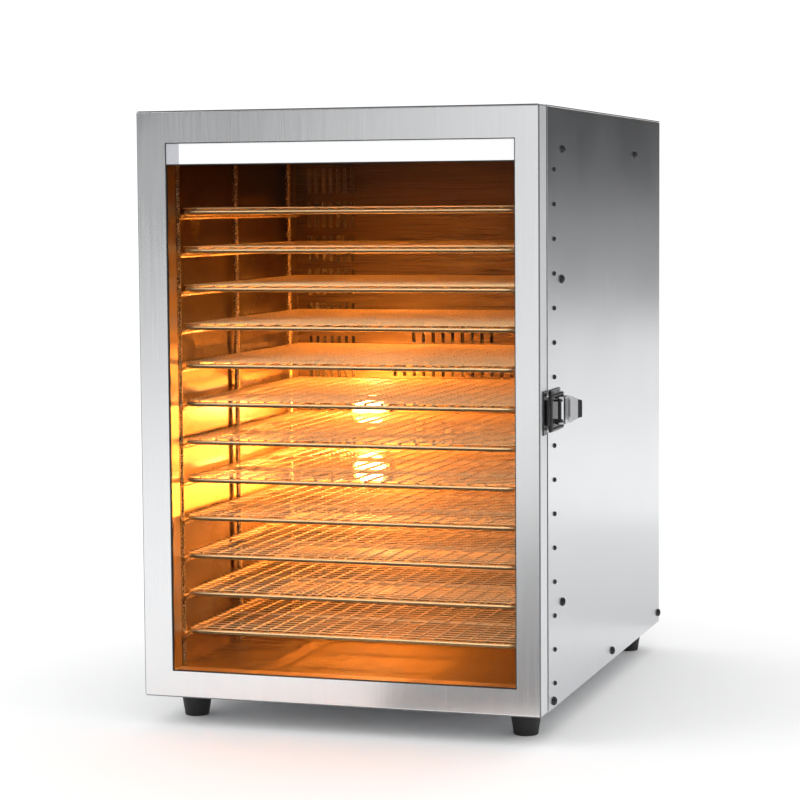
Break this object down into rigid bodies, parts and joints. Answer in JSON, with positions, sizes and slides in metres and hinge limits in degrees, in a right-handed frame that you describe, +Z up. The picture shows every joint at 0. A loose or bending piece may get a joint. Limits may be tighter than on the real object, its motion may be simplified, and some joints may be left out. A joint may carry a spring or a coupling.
{
  "type": "food dehydrator",
  "caption": "Stainless cabinet food dehydrator with a hinged glass door, a draw latch, sliding wire trays on a rack, and a rear fan and heater.",
  "frame": {"origin": "on the floor under the middle of the whole object's bounding box, latch and hinges included", "axes": "+Z up, -Y out of the door's front face, +X towards the latch side"},
  "size_m": [0.4635, 0.593, 0.643],
  "materials": {
    "case_steel": "brushed stainless sheet",
    "door_steel": "brushed stainless sheet, lines up and down",
    "inner_steel": "plain stainless sheet",
    "bright_wire": "polished wire",
    "tray_wire": "electropolished wire",
    "tinted_glass": "bronze tinted, polished",
    "lamp_glass": "clear warm lens",
    "black_rubber": "matte",
    "seal_rubber": "matte silicone",
    "white_plastic": "smooth, blank",
    "grey_plastic": "smooth",
    "dark_steel": "blackened",
    "latch_dark": "dark plated",
    "latch_bright": "polished",
    "board_green": "circuit board",
    "wool": "mineral wool",
    "motor_paint": "satin",
    "heater_sheath": "dull sheath",
    "zinc_steel": "zinc plated",
    "fan_metal": "plain",
    "sensor_metal": "plain",
    "black_plastic": "moulded",
    "rocker_plastic": "moulded red",
    "block_plastic": "moulded",
    "wire_skin": "insulated wire",
    "lamp_plastic": "spun cup"
  },
  "bodies": {
    "cabinet": {"side_panel_left": "case_steel", "side_panel_right": "case_steel", "top_panel": "case_steel", "base_pan": "case_steel", "front_frame": "inner_steel", "chamber_liner": "inner_steel", "insulation_slabs": "wool", "rear_baffle": "inner_steel", "rear_cover": "case_steel", "rubber_feet": "black_rubber", "foot_screws": "zinc_steel", "side_rivets": "dark_steel", "case_screws": "dark_steel", "rack_posts": "bright_wire", "tray_runners": "bright_wire", "hinge_case_leaves": "zinc_steel", "hinge_pins": "zinc_steel", "small_screws_case": "zinc_steel", "latch_base": "latch_dark", "fan_motor": "motor_paint", "motor_bracket": "zinc_steel", "heating_element": "heater_sheath", "heater_clips": "zinc_steel", "thermal_cutout": "sensor_metal", "temperature_probe": "sensor_metal", "lamp_holders": "lamp_plastic", "lamp_lenses": "lamp_glass", "mains_inlet": "black_plastic", "switch_housing": "black_plastic", "terminal_block": "block_plastic", "wiring_loom": "wire_skin"},
    "door": {"door_frame": "door_steel", "door_inner_frame": "inner_steel", "door_glass": "tinted_glass", "glass_gasket": "black_rubber", "door_seal": "seal_rubber", "fascia_end_cap": "grey_plastic", "control_fascia": "white_plastic", "control_board": "board_green", "hinge_door_leaves": "zinc_steel", "small_screws_door": "zinc_steel", "latch_keeper": "latch_dark"},
    "latch_lever": {"latch_lever": "latch_bright"},
    "latch_loop": {"latch_loop": "latch_dark"},
    "fan": {"fan_impeller": "fan_metal", "motor_shaft": "zinc_steel"},
    "power_rocker": {"power_rocker": "rocker_plastic"},
    "tray_01": {"tray_01": "tray_wire"},
    "tray_02": {"tray_02": "tray_wire"},
    "tray_03": {"tray_03": "tray_wire"},
    "tray_04": {"tray_04": "tray_wire"},
    "tray_05": {"tray_05": "tray_wire"},
    "tray_06": {"tray_06": "tray_wire"},
    "tray_07": {"tray_07": "tray_wire"},
    "tray_08": {"tray_08": "tray_wire"},
    "tray_09": {"tray_09": "tray_wire"},
    "tray_10": {"tray_10": "tray_wire"},
    "tray_11": {"tray_11": "tray_wire"},
    "tray_12": {"tray_12": "tray_wire"}
  },
  "joints": [
    {"name": "door_hinge", "type": "hinge", "parent": "cabinet", "child": "door", "pos_m": [-0.2275, -0.2655, 0.337], "axis": [0, 0, -1], "range_deg": [0, 175]},
    {"name": "latch_lever_pivot", "type": "hinge", "parent": "cabinet", "child": "latch_lever", "pos_m": [0.2145, -0.2425, 0.3365], "axis": [0, 0, -1], "range_deg": [0, 115]},
    {"name": "latch_loop_pivot", "type": "hinge", "parent": "latch_lever", "child": "latch_loop", "pos_m": [0.2145, -0.2325, 0.3365], "axis": [0, 0, -1], "range_deg": [-115, 0]},
    {"name": "fan_spin", "type": "hinge", "parent": "cabinet", "child": "fan", "pos_m": [-0.0075, 0.185, 0.336], "axis": [0, 1, 0], "continuous": true},
    {"name": "power_rocker_tilt", "type": "hinge", "parent": "cabinet", "child": "power_rocker", "pos_m": [0.0605, 0.295, 0.091], "axis": [1, 0, 0], "range_deg": [0, 16]},
    {"name": "tray_01_slide", "type": "slide", "parent": "cabinet", "child": "tray_01", "axis": [0, -1, 0], "range_m": [0, 0.01]},
    {"name": "tray_02_slide", "type": "slide", "parent": "cabinet", "child": "tray_02", "axis": [0, -1, 0], "range_m": [0, 0.01]},
    {"name": "tray_03_slide", "type": "slide", "parent": "cabinet", "child": "tray_03", "axis": [0, -1, 0], "range_m": [0, 0.01]},
    {"name": "tray_04_slide", "type": "slide", "parent": "cabinet", "child": "tray_04", "axis": [0, -1, 0], "range_m": [0, 0.01]},
    {"name": "tray_05_slide", "type": "slide", "parent": "cabinet", "child": "tray_05", "axis": [0, -1, 0], "range_m": [0, 0.01]},
    {"name": "tray_06_slide", "type": "slide", "parent": "cabinet", "child": "tray_06", "axis": [0, -1, 0], "range_m": [0, 0.01]},
    {"name": "tray_07_slide", "type": "slide", "parent": "cabinet", "child": "tray_07", "axis": [0, -1, 0], "range_m": [0, 0.01]},
    {"name": "tray_08_slide", "type": "slide", "parent": "cabinet", "child": "tray_08", "axis": [0, -1, 0], "range_m": [0, 0.01]},
    {"name": "tray_09_slide", "type": "slide", "parent": "cabinet", "child": "tray_09", "axis": [0, -1, 0], "range_m": [0, 0.01]},
    {"name": "tray_10_slide", "type": "slide", "parent": "cabinet", "child": "tray_10", "axis": [0, -1, 0], "range_m": [0, 0.01]},
    {"name": "tray_11_slide", "type": "slide", "parent": "cabinet", "child": "tray_11", "axis": [0, -1, 0], "range_m": [0, 0.01]},
    {"name": "tray_12_slide", "type": "slide", "parent": "cabinet", "child": "tray_12", "axis": [0, -1, 0], "range_m": [0, 0.01]}
  ],
  "couplings": [
    {"joint": "latch_loop_pivot", "follows": "latch_lever_pivot", "ratio": -1}
  ]
}
